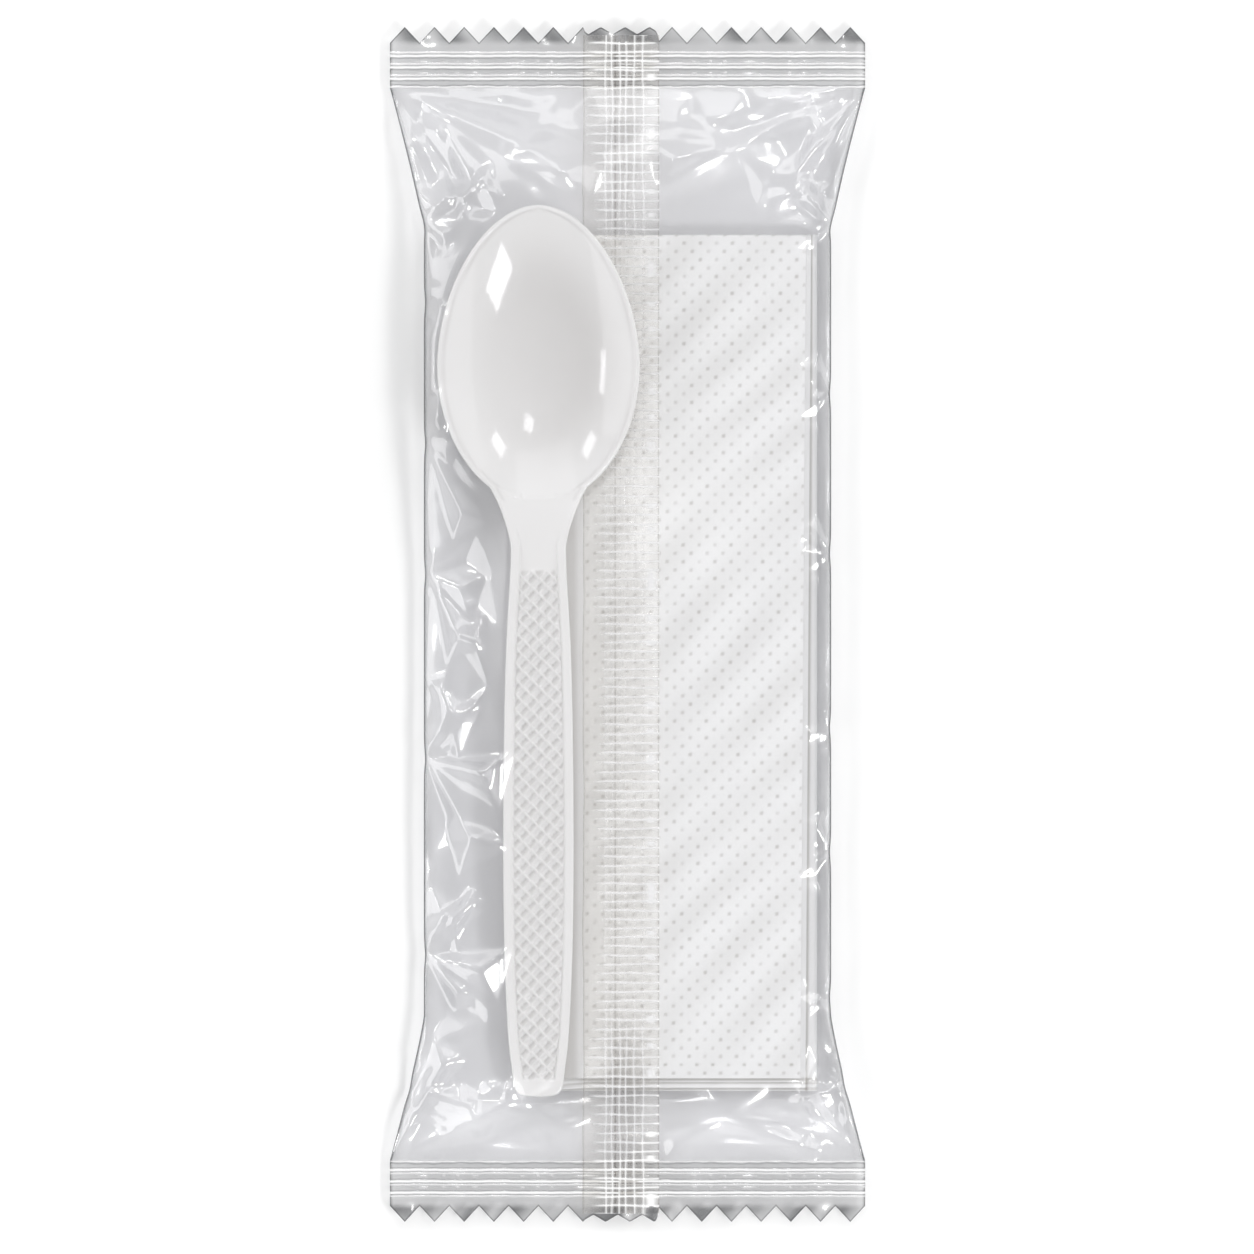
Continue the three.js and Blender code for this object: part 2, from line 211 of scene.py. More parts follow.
def softbox(name, direction, size, brightness):
    """A rectangular area light that faces the pack, with its brightness in the floor's own units."""
    towards = Vector(direction).normalized()
    width, height = (side * LIGHT_DISTANCE for side in size)
    bpy.ops.object.select_all(action="DESELECT")
    bpy.ops.object.light_add(type="AREA", location=towards * LIGHT_DISTANCE)
    light = bpy.context.object
    light.name = light.data.name = name
    light.rotation_euler = towards.to_track_quat("Z", "Y").to_euler()
    light.data.shape = "RECTANGLE"
    light.data.size, light.data.size_y = width, height
    light.data.energy = brightness * math.pi * width * height


for row in SOFTBOXES:
    softbox(*row)
print("lights:", [row[0] for row in SOFTBOXES])

# %% The room round the pack
OVERHEAD, ENDS = 0.46, 0.85  # brightness above the pack, and beyond its two ends
DARKEST_AT = 0.16  # the darkest part of the room lies this far towards the handle's end
BRIGHTENS_FROM, BRIGHTEST_FROM = 0.33, 0.85  # how far from there it starts and stops growing brighter
BELOW_HORIZON = 1.1  # brightness of the white below the horizon

world = bpy.data.worlds.new("studio")
bpy.context.scene.world = world
world.use_nodes = True
sky = world.node_tree
sky.nodes.clear()
towards = add_node(sky, "ShaderNodeTexCoord").outputs["Generated"]
split = add_node(sky, "ShaderNodeSeparateXYZ", {0: towards})
shifted = add_node(sky, "ShaderNodeMath", {0: split.outputs[1], 1: DARKEST_AT}, operation="ADD")
lengthwise = add_node(sky, "ShaderNodeMath", {0: shifted.outputs[0]}, operation="ABSOLUTE")
brightness = add_node(
    sky,
    "ShaderNodeMapRange",
    {
        "Value": lengthwise.outputs[0],
        "From Min": BRIGHTENS_FROM,
        "From Max": BRIGHTEST_FROM,
        "To Min": OVERHEAD,
        "To Max": ENDS,
    },
    interpolation_type="SMOOTHSTEP",
)
backdrop = add_node(  # white below the horizon, where the floor would go on
    sky,
    "ShaderNodeMapRange",
    {"Value": split.outputs[2], "From Min": 0, "From Max": -0.02, "To Min": 0, "To Max": BELOW_HORIZON},
)
strength = add_node(
    sky, "ShaderNodeMath", {0: brightness.outputs[0], 1: backdrop.outputs[0]}, operation="MAXIMUM"
)
glow = add_node(sky, "ShaderNodeBackground", {"Color": srgb("#ffffff"), "Strength": strength.outputs[0]})
add_node(sky, "ShaderNodeOutputWorld", {"Surface": glow.outputs[0]})
print("room brightness from", OVERHEAD, "to", ENDS)

# %% [markdown]
# ## The napkin
# A paper napkin is one square sheet of embossed tissue. It is folded in four, and then in three like a
# letter, so twelve plies lie on each other. It is made as it is folded: one flat grid gets every point's
# place from two folds in half and a Z-fold. The grid is fine only where the top ply shows, because only
# there do the embossed dots need points of their own.

# %% Napkin sizes
napkin_low, napkin_high = box_mm("napkin")
SHEET = np.array([326.0, 330.0])  # the flat sheet, across and along
PLY = 0.225  # one embossed ply
OUTER = 1.5 * PLY  # from the middle of four plies to the outermost one
FOLD_PITCH = 1.05  # from one panel of the Z-fold to the next
DOT = np.array([3.1, 3.28])  # one cell of the dot pattern, which also has a dot in its middle
DOT_DEPTH = 0.28
DOT_RADIUS = 0.27
WAVE_LENGTH = 10.5  # soft diagonal waves left by the embossing rollers
WAVE_DEPTH = 0.12
TOP_PANEL_STEP = 2.3  # the top panel ends this far short of the fold below
PANEL_SKEW = 1.1  # but this much less at its upper end, because it was folded a little askew
STEPS_ACROSS = (0.45, 0.5)  # at its right edge the upper half stops this much short, and the top ply more
STEPS_ALONG = (1.1, 0.6, 0.7)  # and at the lower edge the upper half, the top panel and the top ply
LOFT = 0.2  # the embossed ply stands this far off the one below
PLAIN_TO = -9.5  # the dots begin to the right of the fold
DOT_LINES = (-0.5, -0.17, 0.17, 0.5)  # grid lines near each column and row of dots
print("napkin box:", np.round(napkin_low, 1), np.round(napkin_high, 1))

# %% The Z-fold as a path
half_sheet = SHEET / 2
fold_radius = FOLD_PITCH / 2
right_turn = napkin_high[0] - fold_radius - OUTER
left_turn = napkin_low[0] + fold_radius + OUTER
panel_edge = napkin_high[0] - TOP_PANEL_STEP
turn = math.pi * fold_radius
run_middle = right_turn - left_turn
run_top = panel_edge - left_turn
run_bottom = half_sheet[0] - 2 * turn - run_middle - run_top
stops = np.cumsum([0, run_bottom, turn, run_middle, turn, run_top])
base_z = napkin_low[2] + 2 * PLY
print("Z-fold runs:", np.round(stops, 1))


def z_fold(along):
    """Where a point of the quarter-folded sheet comes to lie: its x, z and the turn of its surface."""
    first = np.pi * np.clip((along - stops[1]) / turn, 0, 1)
    second = np.pi * np.clip((along - stops[3]) / turn, 0, 1)
    x = right_turn + fold_radius * np.sin(first)
    x = np.where(along < stops[1], right_turn - (stops[1] - along), x)
    x = np.where(along > stops[2], right_turn - (along - stops[2]), x)
    x = np.where(along > stops[3], left_turn - fold_radius * np.sin(second), x)
    x = np.where(along > stops[4], left_turn + (along - stops[4]), x)
    z = base_z + fold_radius * (1 - np.cos(first)) + fold_radius * (1 - np.cos(second))
    return x, z, first - second


# %% The sheet's grid
def dot_lines(length, pitch, start):
    """Grid lines that close up round each dot, measured back from the panel's end."""
    centres = np.arange(-2, 2 * length / pitch + 2) * pitch / 2 + (start % pitch)
    lines = (centres[:, None] + np.array(DOT_LINES)).ravel()
    return np.unique(lines[(lines > 0) & (lines < length)])


fine_x = half_sheet[0] - stops[4] - run_top + dot_lines(run_top, DOT[0], panel_edge)
bends = np.concatenate([np.linspace(stops[i], stops[i + 1], 7) for i in (1, 3)])
flats = np.concatenate([np.linspace(stops[i], stops[i + 1], 6) for i in (0, 2, 4)])
by_the_edge = stops[2] + right_turn - panel_edge + np.linspace(-1.8, 0.5, 11)
flats = np.concatenate([flats, by_the_edge])
first_fold = half_sheet[0] + np.linspace(-1, 1, 7) * PLY
lines_x = np.concatenate([[0.0], fine_x, half_sheet[0] - bends, half_sheet[0] + bends])
lines_x = np.concatenate([lines_x, half_sheet[0] - flats, half_sheet[0] + flats, first_fold])
lines_x = np.unique(np.round(lines_x[(lines_x >= 0) & (lines_x <= SHEET[0])], 3))
fine_y = half_sheet[1] + dot_lines(half_sheet[1], DOT[1], 0)
second_fold = half_sheet[1] + np.linspace(-1, 1, 7) * OUTER
leaf_lines = np.linspace(0, 3.2, 12)  # grid lines near the sheet's two ends, where leaves show
hidden_y = np.linspace(3.6, half_sheet[1], 14)
lines_y = np.concatenate([leaf_lines, hidden_y, fine_y, second_fold, SHEET[1] - leaf_lines])
lines_y = np.unique(np.round(lines_y, 3))
napkin = flat_grid("napkin_tissue", len(lines_x), len(lines_y))
print("napkin grid:", len(lines_x), "by", len(lines_y), "points")

# %% Fold the sheet
s, t = np.meshgrid(lines_x, lines_y)  # each point's place on the flat sheet
fold_s = np.sin(np.clip((s - half_sheet[0]) / PLY, -1, 1) * np.pi / 2)
fold_t = np.sin(np.clip((t - half_sheet[1]) / OUTER, -1, 1) * np.pi / 2)
ply_height = PLY * fold_t * (1 - 0.5 * fold_s)
along_s = np.abs(s - half_sheet[0])
along_t = np.abs(t - half_sheet[1])
x, z, angle = z_fold(along_s)
x = x - ply_height * np.sin(angle)
z = z + ply_height * np.cos(angle)

upper = ease(0.5 + 0.5 * fold_t)
top_panel = along_s > stops[4]
free_edge = panel_edge + PANEL_SKEW * (1 - along_t / half_sheet[1])
x = x + top_panel * (free_edge - panel_edge) * (x - left_turn) / run_top
top_ply = upper * (fold_s < 0)
short_x = STEPS_ACROSS[0] * upper + STEPS_ACROSS[1] * top_ply
x = x - top_panel * short_x * (x - left_turn) / run_top
stack_length = napkin_high[1] - napkin_low[1]
shortfall = STEPS_ALONG[0] * upper + STEPS_ALONG[1] * top_panel + STEPS_ALONG[2] * top_panel * top_ply
y = napkin_high[1] - along_t * (stack_length - shortfall) / half_sheet[1]
print("napkin folded to", np.round([x.min(), x.max(), y.min(), y.max(), z.min(), z.max()], 1))

# %% Emboss it
start = np.array([half_sheet[0] - stops[5] + panel_edge % DOT[0], half_sheet[1]])
cell = (np.stack([s, t]) - start[:, None, None]) / DOT[:, None, None]
near = [np.hypot(*(DOT[:, None, None] * (cell + o - np.round(cell + o)))) for o in (0, 0.5)]
dots = np.maximum(bump(near[0], DOT_RADIUS), bump(near[1], DOT_RADIUS))
wave = WAVE_DEPTH * np.sin(2 * np.pi * (x - y) / math.sqrt(2) / WAVE_LENGTH + 0.9 * np.sin(y / 13))
wave = wave * (0.65 + 0.35 * np.sin((x + y) / 9))
shows = top_panel * upper * (fold_s < -0.99)
edge_calm = ease((free_edge - 0.4 - x) / 1.2) * ease((x - PLAIN_TO) / 2)
z = z + shows * edge_calm * (LOFT + wave - DOT_DEPTH * dots)
place_points(napkin, x, y, z)
print("dots", DOT_DEPTH, "mm deep, waves", WAVE_DEPTH, "mm")

# %% Shade it
# The dots attribute is painted shade: in each dot and the waves' hollows, beside the spoon's handle, and
# painted shadow lines under leaf edges.
uneven = 0.7 + 0.3 * np.sin(s * 1.3 + 2 * np.sin(t * 0.37)) * np.sin(t * 0.9)
# painted shade on the top panel to the left of the dots, beside the spoon's handle
in_shade = 0.45 * ease((PLAIN_TO + 1 - x) / 2) * top_panel
# a painted shadow line on the middle panel beside the top panel's free edge
in_shade = in_shade + 0.5 * bump(x - free_edge - 0.2, 0.3) * (along_s > stops[2]) * (along_s < stops[3])
beyond = y - napkin_low[1]  # the leaves end this far up from the napkin's lower edge
# painted shadow lines where each leaf ends over the one below
in_shade = in_shade + 0.6 * (shows < 1) * bump(beyond - 2.2, 0.3)
in_shade = in_shade + 0.5 * (upper < 0.5) * bump(beyond - 1.5, 0.25)
in_shade = in_shade + 0.5 * (1 - top_panel) * bump(beyond - 0.4, 0.25)
# painted shade in each dot and in the hollows of the waves
painted_dot_and_wave_shade = 0.95 * dots * uneven + 0.05 - 0.7 * wave
paint(napkin, "dots", np.clip(shows * edge_calm * painted_dot_and_wave_shade + in_shade, 0, 1))
close_up(napkin)

# %% [markdown]
# ### Tissue
# Bleached cellulose tissue, creped and embossed. It is matt and slightly see-through, with short fibres
# that show as a faint grain about 0.4 mm across: a noise scale of 2600 to the metre.

# %% Tissue material
tissue, tree = new_material("embossed_cellulose_tissue")
where = add_node(tree, "ShaderNodeTexCoord").outputs["Object"]
fibres = add_node(
    tree, "ShaderNodeTexNoise", {"Vector": where, "Scale": 2600, "Detail": 3, "Roughness": 0.6}
)
lift = add_node(
    tree, "ShaderNodeBump", {"Height": fibres.outputs["Fac"], "Strength": 0.35, "Distance": 0.00006}
)
shade = add_node(
    tree,
    "ShaderNodeMix",
    {"Factor": fibres.outputs["Fac"], 6: srgb("#f3f3f2"), 7: srgb("#fbfbfb")},
    data_type="RGBA",
)
# the napkin's painted shade darkens the tissue towards this warm grey
painted_napkin_shade = add_node(tree, "ShaderNodeAttribute", attribute_name="dots")
darker = add_node(
    tree,
    "ShaderNodeMix",
    {"Factor": painted_napkin_shade.outputs["Fac"], 6: shade.outputs[2], 7: srgb("#99938b")},
    data_type="RGBA",
)
cellulose = add_node(
    tree,
    "ShaderNodeBsdfPrincipled",
    {
        "Base Color": darker.outputs[2],
        "Roughness": 0.95,
        "Specular IOR Level": 0.2,
        "Normal": lift.outputs[0],
    },
)
add_node(tree, "ShaderNodeOutputMaterial", {"Surface": cellulose.outputs[0]})
napkin.data.materials.append(tissue)
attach(napkin, "root")
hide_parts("napkin")
print("napkin material:", tissue.name)

# %% [markdown]
# ## The spoon
# A disposable spoon is one shot of polypropylene. Its outline is an egg that runs into a neck and a
# long handle, and the handle's grip is a net of fine ribs between two raised borders. A box or a sphere
# would need many cuts to reach that outline, so a grid is given the outline row by row. A copy of
# it becomes the underside, and the two are merged where they meet at the rounded edge.

# %% Spoon sizes
spoon_low, spoon_high = box_mm("spoon")
SPOON_X = (spoon_low[0] + spoon_high[0]) / 2
BOWL_HALF = (spoon_high[0] - spoon_low[0]) / 2
TIP_Y, END_Y = spoon_high[1], spoon_low[1]
WIDEST_Y = TIP_Y - 30.9  # where the bowl is widest
HEEL_Y = TIP_Y - 57.8  # where the egg would close if no neck ran into it
NECK_Y = TIP_Y - 69  # where the spoon is narrowest
RIM_FROM = NECK_Y + 8  # where the bowl's rim begins
BOWL_ROWS_TO = 26  # where the grid's rows stop following the bowl
BOWL_DEPTH = 6.7
BOWL_WALL = 1.3
RIM_Z = spoon_high[2]
RIM_WIDTH = 1.0
RIM_STEP = 0.15  # a small step down from the rim into the bowl
RIM_THICKNESS = 1.3
HANDLE_THICKNESS = 2.4
EVEN_SHARE = 0.78  # the grid's columns are even over this share of the width, and then close up
GRIP_TOP = 10.2
GRIP_BOTTOM = -88.2
BORDER = 1.75  # width of the raised edge round the grip
RIB_PITCH = 2.12
RIB_WIDTH = 0.27
RIB_HEIGHT = 0.45
SHINGLE = 0.4  # each diamond between the ribs is tipped by this much
GRIP_DEPTH = 0.65
print("spoon:", round(TIP_Y - END_Y, 1), "mm long,", round(2 * BOWL_HALF, 1), "mm across its bowl")

# %% The spoon's outline
neck_and_handle = through_points(
    [(END_Y, 0), (-90.9, 3.1), (-90.2, 4.2), (-89, 4.75), (-86.5, 5.05), (-78, 5.95), (-58, 6.7)]
    + [(-30, 6.75), (-6, 6.3), (NECK_Y, 5.37), (17, 5.7), (22.9, 7.6), (27, 9.7)]
)
spine = through_points(
    [(END_Y, 6.3), (-70, 6.9), (-40, 8.3), (-10, 10.3), (NECK_Y, 11.6)]
    + [(26, RIM_Z), (40, RIM_Z), (TIP_Y, RIM_Z)]
)


def half_width(y):
    """Half the spoon's width: an egg with a slightly pointed tip, running into the neck."""
    up = np.clip((y - WIDEST_Y) / (TIP_Y - WIDEST_Y), 0, 1)
    down = np.clip((WIDEST_Y - y) / (WIDEST_Y - HEEL_Y), 0, 1)
    egg = np.where(y > WIDEST_Y, (1 - up**1.8) ** 0.526, np.sqrt(1 - down**2))
    handle = np.where(y < 40, neck_and_handle(np.minimum(y, 27)), 0)
    return np.maximum(BOWL_HALF * egg, handle)


def from_bowl(x, y, inset):
    """How far out from the bowl's deepest point a place is: 1 at an edge inset from the outline."""
    length = np.where(y > WIDEST_Y, TIP_Y - WIDEST_Y, WIDEST_Y - HEEL_Y) - inset
    return np.hypot(x / (BOWL_HALF - inset), (y - WIDEST_Y) / length)


def edge_distance(x, y):
    """About how far inside the outline a place is."""
    step = 0.02
    slope = (half_width(y + step) - half_width(y - step)) / (2 * step)
    return np.clip((half_width(y) - np.abs(x)) / np.sqrt(1 + slope**2), 0, 99)


def edge_roll(distance, radius):
    """How far a surface has rolled down at a distance from the edge, with that radius."""
    inside = np.clip(1 - distance / radius, 0, 1)
    return radius * (1 - np.sqrt(1 - inside**2))


print("neck:", np.round(2 * half_width(np.array([NECK_Y])), 1), "mm wide")


# %% The spoon's top and underside
def spoon_top(x, y):
    """The height of the spoon's top, and the painted shade in the grip's cells, darker on one side of each.
    """
    reach = from_bowl(x, y, RIM_WIDTH)
    distance = edge_distance(x, y)
    below_rim = RIM_STEP * ease((distance - RIM_WIDTH) / 0.4) * (reach < 1)
    hollow = BOWL_DEPTH * (1 - np.clip(reach, 0, 1) ** 2.1) + below_rim
    in_grip = ease((GRIP_TOP + 0.5 - y) / 0.8) * ease((y - GRIP_BOTTOM) / 0.8)
    in_channel = ease((RIM_FROM - y) / 9) * ease((y - GRIP_BOTTOM) / 0.8)
    sunk = GRIP_DEPTH * in_channel * ease((distance - BORDER + 0.2) / 0.4)
    panel = in_grip * ease((distance - BORDER - 0.1) / 0.35)
    ribs = np.zeros_like(x)
    for along in ((x + y) / math.sqrt(2), (x - y) / math.sqrt(2)):
        from_rib = along - RIB_PITCH * np.round(along / RIB_PITCH)
        ribs = np.maximum(ribs, bump(from_rib, RIB_WIDTH))
    slant = from_rib / RIB_PITCH
    net = panel * (RIB_HEIGHT * ribs + SHINGLE * slant * (1 - ribs))
    radius = np.where(y > RIM_FROM, 0.6, 0.5)
    # painted shade in the grip's cells, darker towards one side of each
    painted_shade = panel * (1 - ribs) * (0.45 - 0.65 * slant)
    return spine(y) - hollow - sunk + net - edge_roll(distance, radius), painted_shade


def spoon_under(x, y):
    """The height of the spoon's underside."""
    distance = edge_distance(x, y)
    edge = mix(HANDLE_THICKNESS, RIM_THICKNESS, ease((y - NECK_Y) / 20))
    bowl = BOWL_DEPTH + BOWL_WALL - RIM_THICKNESS
    below = bowl * (1 - np.clip(from_bowl(x, y, 0), 0, 1) ** 2.2)
    roll = edge_roll(distance, np.where(y > RIM_FROM, 0.6, 1.0))
    return spine(y) - edge - below + roll


# %% Shape the spoon
bowl_turns = np.linspace(0, np.pi, 110)
reach = np.where(bowl_turns < np.pi / 2, TIP_Y - WIDEST_Y, WIDEST_Y - BOWL_ROWS_TO)
bowl_rows = WIDEST_Y + reach * np.cos(bowl_turns)
neck_rows = np.arange(BOWL_ROWS_TO - 0.4, GRIP_TOP + 1, -0.5)
grip_rows = np.arange(GRIP_TOP + 1, GRIP_BOTTOM - 0.4, -0.25)
end_rows = END_Y + 2.6 * np.linspace(1, 0, 16) ** 1.8
rows = np.concatenate([bowl_rows, neck_rows, grip_rows, end_rows])
grip = np.linspace(-1, 1, 59) * EVEN_SHARE
side = EVEN_SHARE + (1 - EVEN_SHARE) * np.sin(np.linspace(0, 1, 9)[1:] * np.pi / 2)
across = np.concatenate([-side[::-1], grip, side])
spoon = flat_grid("spoon_moulding", len(across), len(rows))
u, y = np.meshgrid(across, rows)
x = u * half_width(y)
top_z, recess = spoon_top(x, y)
place_points(spoon, SPOON_X + x, y, top_z)

# This attribute is painted shade: in the grip's cells, deep in the bowl and more so away from the key
# light, and in a line inside the rim.
away_from_key = 0.62 + 0.5 * x / BOWL_HALF + 0.2 * (y - WIDEST_Y) / 30
deep = ease((1 - from_bowl(x, y, RIM_WIDTH)) / 0.55) * away_from_key
painted_rim_shade = 0.4 * bump(edge_distance(x, y) - RIM_WIDTH - 0.15, 0.25) * (y > NECK_Y + 12)
paint(spoon, "recess", np.clip(recess + deep + painted_rim_shade, 0, 1))
rim = edge_distance(x, y) <= 0

# %% Give it an underside
bpy.ops.object.select_all(action="DESELECT")
spoon.select_set(True)
bpy.ops.object.duplicate()
underside = bpy.context.object
meeting = np.where(rim, top_z, np.minimum(spoon_under(x, y), top_z - 0.02))
place_points(underside, SPOON_X + x, y, meeting)
underside.data.attributes["recess"].data.foreach_set("value", np.zeros(x.size))
bpy.ops.object.select_all(action="DESELECT")
underside.select_set(True)
spoon.select_set(True)
bpy.context.view_layer.objects.active = spoon
bpy.ops.object.join()
close_up(spoon)

# %% [markdown]
# ### Polypropylene
# Opaque warm white polypropylene, injection moulded in a polished tool. It is glossy. Painted shade makes
# its hollows a little darker and warmer than its skin. Its colour drifts over about 17 mm, and its skin
# ripples every 2 mm or so: noise scales of 60 and 500 to the metre.

# %% Spoon material
polypropylene, tree = new_material("moulded_polypropylene")
where = add_node(tree, "ShaderNodeTexCoord").outputs["Object"]
cloud = add_node(tree, "ShaderNodeTexNoise", {"Vector": where, "Scale": 60, "Detail": 2})
orange_peel = add_node(tree, "ShaderNodeTexNoise", {"Vector": where, "Scale": 500, "Detail": 1})
skin = add_node(
    tree, "ShaderNodeBump", {"Height": orange_peel.outputs["Fac"], "Strength": 0.2, "Distance": 0.00002}
)
shade = add_node(
    tree,
    "ShaderNodeMix",
    {"Factor": cloud.outputs["Fac"], 6: srgb("#f1f0ee"), 7: srgb("#f6f5f4")},
    data_type="RGBA",
)
# the spoon's painted shade attribute darkens the plastic towards this grey
recessed = add_node(tree, "ShaderNodeAttribute", attribute_name="recess")
painted_shade = add_node(
    tree,
    "ShaderNodeMix",
    {"Factor": recessed.outputs["Fac"], 6: shade.outputs[2], 7: srgb("#d3d1cf")},
    data_type="RGBA",
)
polish = add_node(
    tree, "ShaderNodeMapRange", {"Value": cloud.outputs["Fac"], "To Min": 0.07, "To Max": 0.1}
)
plastic = add_node(
    tree,
    "ShaderNodeBsdfPrincipled",
    {
        "Base Color": painted_shade.outputs[2],
        "Roughness": polish.outputs[0],
        "IOR": 1.49,
        "Specular IOR Level": 0.6,
        "Normal": skin.outputs[0],
    },
)
add_node(tree, "ShaderNodeOutputMaterial", {"Surface": plastic.outputs[0]})
spoon.data.materials.append(polypropylene)
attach(spoon, "root")
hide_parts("spoon")
print("spoon material:", polypropylene.name)

# %% [markdown]
# ## The film pouch
# Clear film can't stretch, so where the pouch goes from flat seals to a full body it buckles into flat
# facets with sharp folds between them, and sharp points where folds meet. The pouch starts as a flat
# web that is wrapped into a tube, as the packing machine does it. Then a given network of folds lifts
# and sinks its surface.

# %% Pouch sizes
film_high = box_mm("film_wrapper")[1]
HALF_LENGTH = film_high[1]
SEAL_DEPTH = 11.8  # from the pouch's body to the tips of the teeth
BODY_HALF = HALF_LENGTH - SEAL_DEPTH
SEAL_HALF_WIDTH = film_high[0]
WAIST_HALF_WIDTH = 39.3
TAPER_LENGTH = 28  # the pouch widens over this length before each seal
TAPER_CURVE = 1.15
SEAL_Z = 2.4  # the seals' height over the table
SEAL_HALF_GAP = 0.12
LIFT_LENGTH = 13  # the back film leaves the table this far before each seal
NOTCH_DEPTH, NOTCH_WIDTH = 0.22, 2.2  # what each star does to the pouch's side
OVER_BOWL = 1.4  # the front film's height over the spoon's rim, and over the napkin
OVER_HANDLE = 1.0
TENT_LEFT, TENT_RIGHT = 20, 34  # the film comes down from the spoon over these lengths
TENT_START = 0.6
ROOF_CURVE = 1.3
FIN_ROOT_X = 6.1
FIN_WIDTH = 14.7
print("pouch:", round(2 * HALF_LENGTH, 1), "mm long,", round(2 * SEAL_HALF_WIDTH, 1), "mm wide")


def pouch_half_width(y):
    """Half the pouch's width: narrow round the contents, and full at the seals."""
    t = np.clip((np.abs(y) - BODY_HALF + TAPER_LENGTH) / TAPER_LENGTH, 0, 1)
    return mix(WAIST_HALF_WIDTH, SEAL_HALF_WIDTH, t**TAPER_CURVE)


def side_notches(x, y):
    """How far each star draws the pouch's side in."""
    left = sum(bump(y - star, NOTCH_WIDTH) for star in LEFT_STARS)
    right = sum(bump(y - star, NOTCH_WIDTH) for star in RIGHT_STARS)
    return NOTCH_DEPTH * np.where(x < 0, left, right)


def pouch_floor(y):
    """The back film's height: on the table, lifting towards the end seals."""
    return (SEAL_Z - SEAL_HALF_GAP) * ease((np.abs(y) - BODY_HALF + LIFT_LENGTH) / LIFT_LENGTH)


def taut(distance, reach):
    """1 over a piece, falling almost straight to 0 where the film comes down beside it."""
    t = np.clip(distance / reach, 0, 1)
    return (1 - t) * (1 - 0.25 * t)


def over_contents(x, y):
    """The front film's height over the spoon and the napkin."""
    napkin_film = napkin_high[2] + OVER_BOWL
    dx = x - SPOON_X
    reach = np.where(dx > 0, TENT_RIGHT, TENT_LEFT)
    bowl = (from_bowl(dx, y, 0) - 1) * BOWL_HALF - TENT_START
    handle = np.abs(dx) - half_width(np.minimum(y, NECK_Y)) - TENT_START
    over_bowl = mix(napkin_film, RIM_Z + OVER_BOWL, taut(bowl, reach))
    over_handle = mix(napkin_film, spine(y) + OVER_HANDLE, taut(handle, reach))
    higher = (over_bowl + over_handle + np.sqrt((over_bowl - over_handle) ** 2 + 1.5)) / 2
    return mix(higher - 0.3, over_bowl, ease((y - WIDEST_Y + 12) / 12))


def pouch_roof(x, y):
    """The front film's height before it is creased."""
    held = np.clip(y, END_Y - 0.5, TIP_Y + 1)
    past = np.abs(y - held) / (BODY_HALF - np.abs(held))
    return mix(over_contents(x, held), SEAL_Z + SEAL_HALF_GAP, np.clip(past, 0, 1) ** ROOF_CURVE)


# %% The network of folds
FRONT_FOLDS = [
    # x, y and lift of each point where folds meet, in millimetres
    (-45.8, 103.5, 0), (-43.4, 92, 0.4), (-41, 84, -0.8), (-39.3, 77.5, 0.9), (-39.3, 67.1, -0.9),
    (-39.2, 55, 0.7), (-38.8, 44, -0.3), (-38.5, 34.8, 0.9), (-39, 22, -0.7), (-37.8, 9.6, 0.8),
    (-39, -8, -0.6), (-38.7, -26, 0.9), (-38.5, -31.2, -0.7), (-39, -48, 0.6), (-38.9, -63.8, -0.9),
    (-40, -76, 0.6), (-42.6, -89.8, -0.8), (-45.8, -103.5, 0),
    (-35.2, 96.6, 1.6), (-25.4, 89.5, 1.5), (-9, 87.7, 0.6), (-31.5, 86, -1.3), (-36, 80, 1.2),
    (-24, 99, -1.2), (-14, 95, 1.4), (-4, 97, -0.9), (-34.5, 71, -1.1), (-35.5, 61, 0.9),
    (-33.8, 49, -0.7), (-35, 39, 0.9), (-33, 27, -1.1), (-35, 16, 1.0), (-30, 4, -1.0), (-34.5, -3, 0.8),
    (-26.5, -11.9, 0.9), (-33.3, -19, -1.3), (-27, -23, 0.3), (-31, -31, 1.1), (-34.5, -39, -1.0),
    (-27.9, -49.5, 1.0), (-34, -55, -0.9), (-31.4, -69, 1.1), (-35.2, -71, -0.9), (-32.9, -76.3, -0.8),
    (-34.6, -83.7, 1.5), (-38.5, -93, -1.2), (-29, -90, -1.4), (-20.6, -92, 1.0), (-30, -98, 1.2),
    (-16, -98, -1.1), (-8, -93, 0.8), (-2, -99, 0.5),
    (45.8, 103.5, 0), (43.5, 93, 0.5), (41.2, 85, -0.7), (39.5, 76.9, 0.8), (39.3, 62, -0.6),
    (38.9, 44.5, 0.9), (39.2, 28, -0.5), (38.7, 13.8, 0.8), (39.2, -8, -0.5), (39.2, -26, 0.5),
    (39.5, -43.9, -0.8), (39.3, -62, 0.6), (40.5, -78, -0.6), (42.6, -89.3, 0.8), (45.8, -103.5, 0),
    (32.3, 86.8, -1.3), (36.5, 81, 1.2), (20.4, 92.5, 1.7), (34.6, 99.5, 1.2), (27, 96.8, -0.9),
    (12, 97, -1.0), (12, 86, 0.5), (5.7, 89.7, 0.4), (25, 84, -0.5), (37, 91, 0.9),
    (36.9, 68, -0.5), (36.6, 53.9, 0.5), (35.6, 48.3, -0.4), (36.8, 37, 0.5), (36.6, 22, -0.4),
    (36.5, 5, 0.4), (36.8, -18, -0.4), (36.2, -35, 0.4), (36.2, -44.3, -0.5), (36.6, -55, 0.5),
    (36.8, -68, -0.5), (37.2, -77.1, 0.6), (20.2, -94.5, 1.6), (6.7, -98, -0.9), (13, -99.5, 0.8),
    (37.3, -99, -1.0), (33.7, -90.8, 1.3), (28, -97, -1.2), (39, -86, -0.9), (11, -92, -0.5),
]


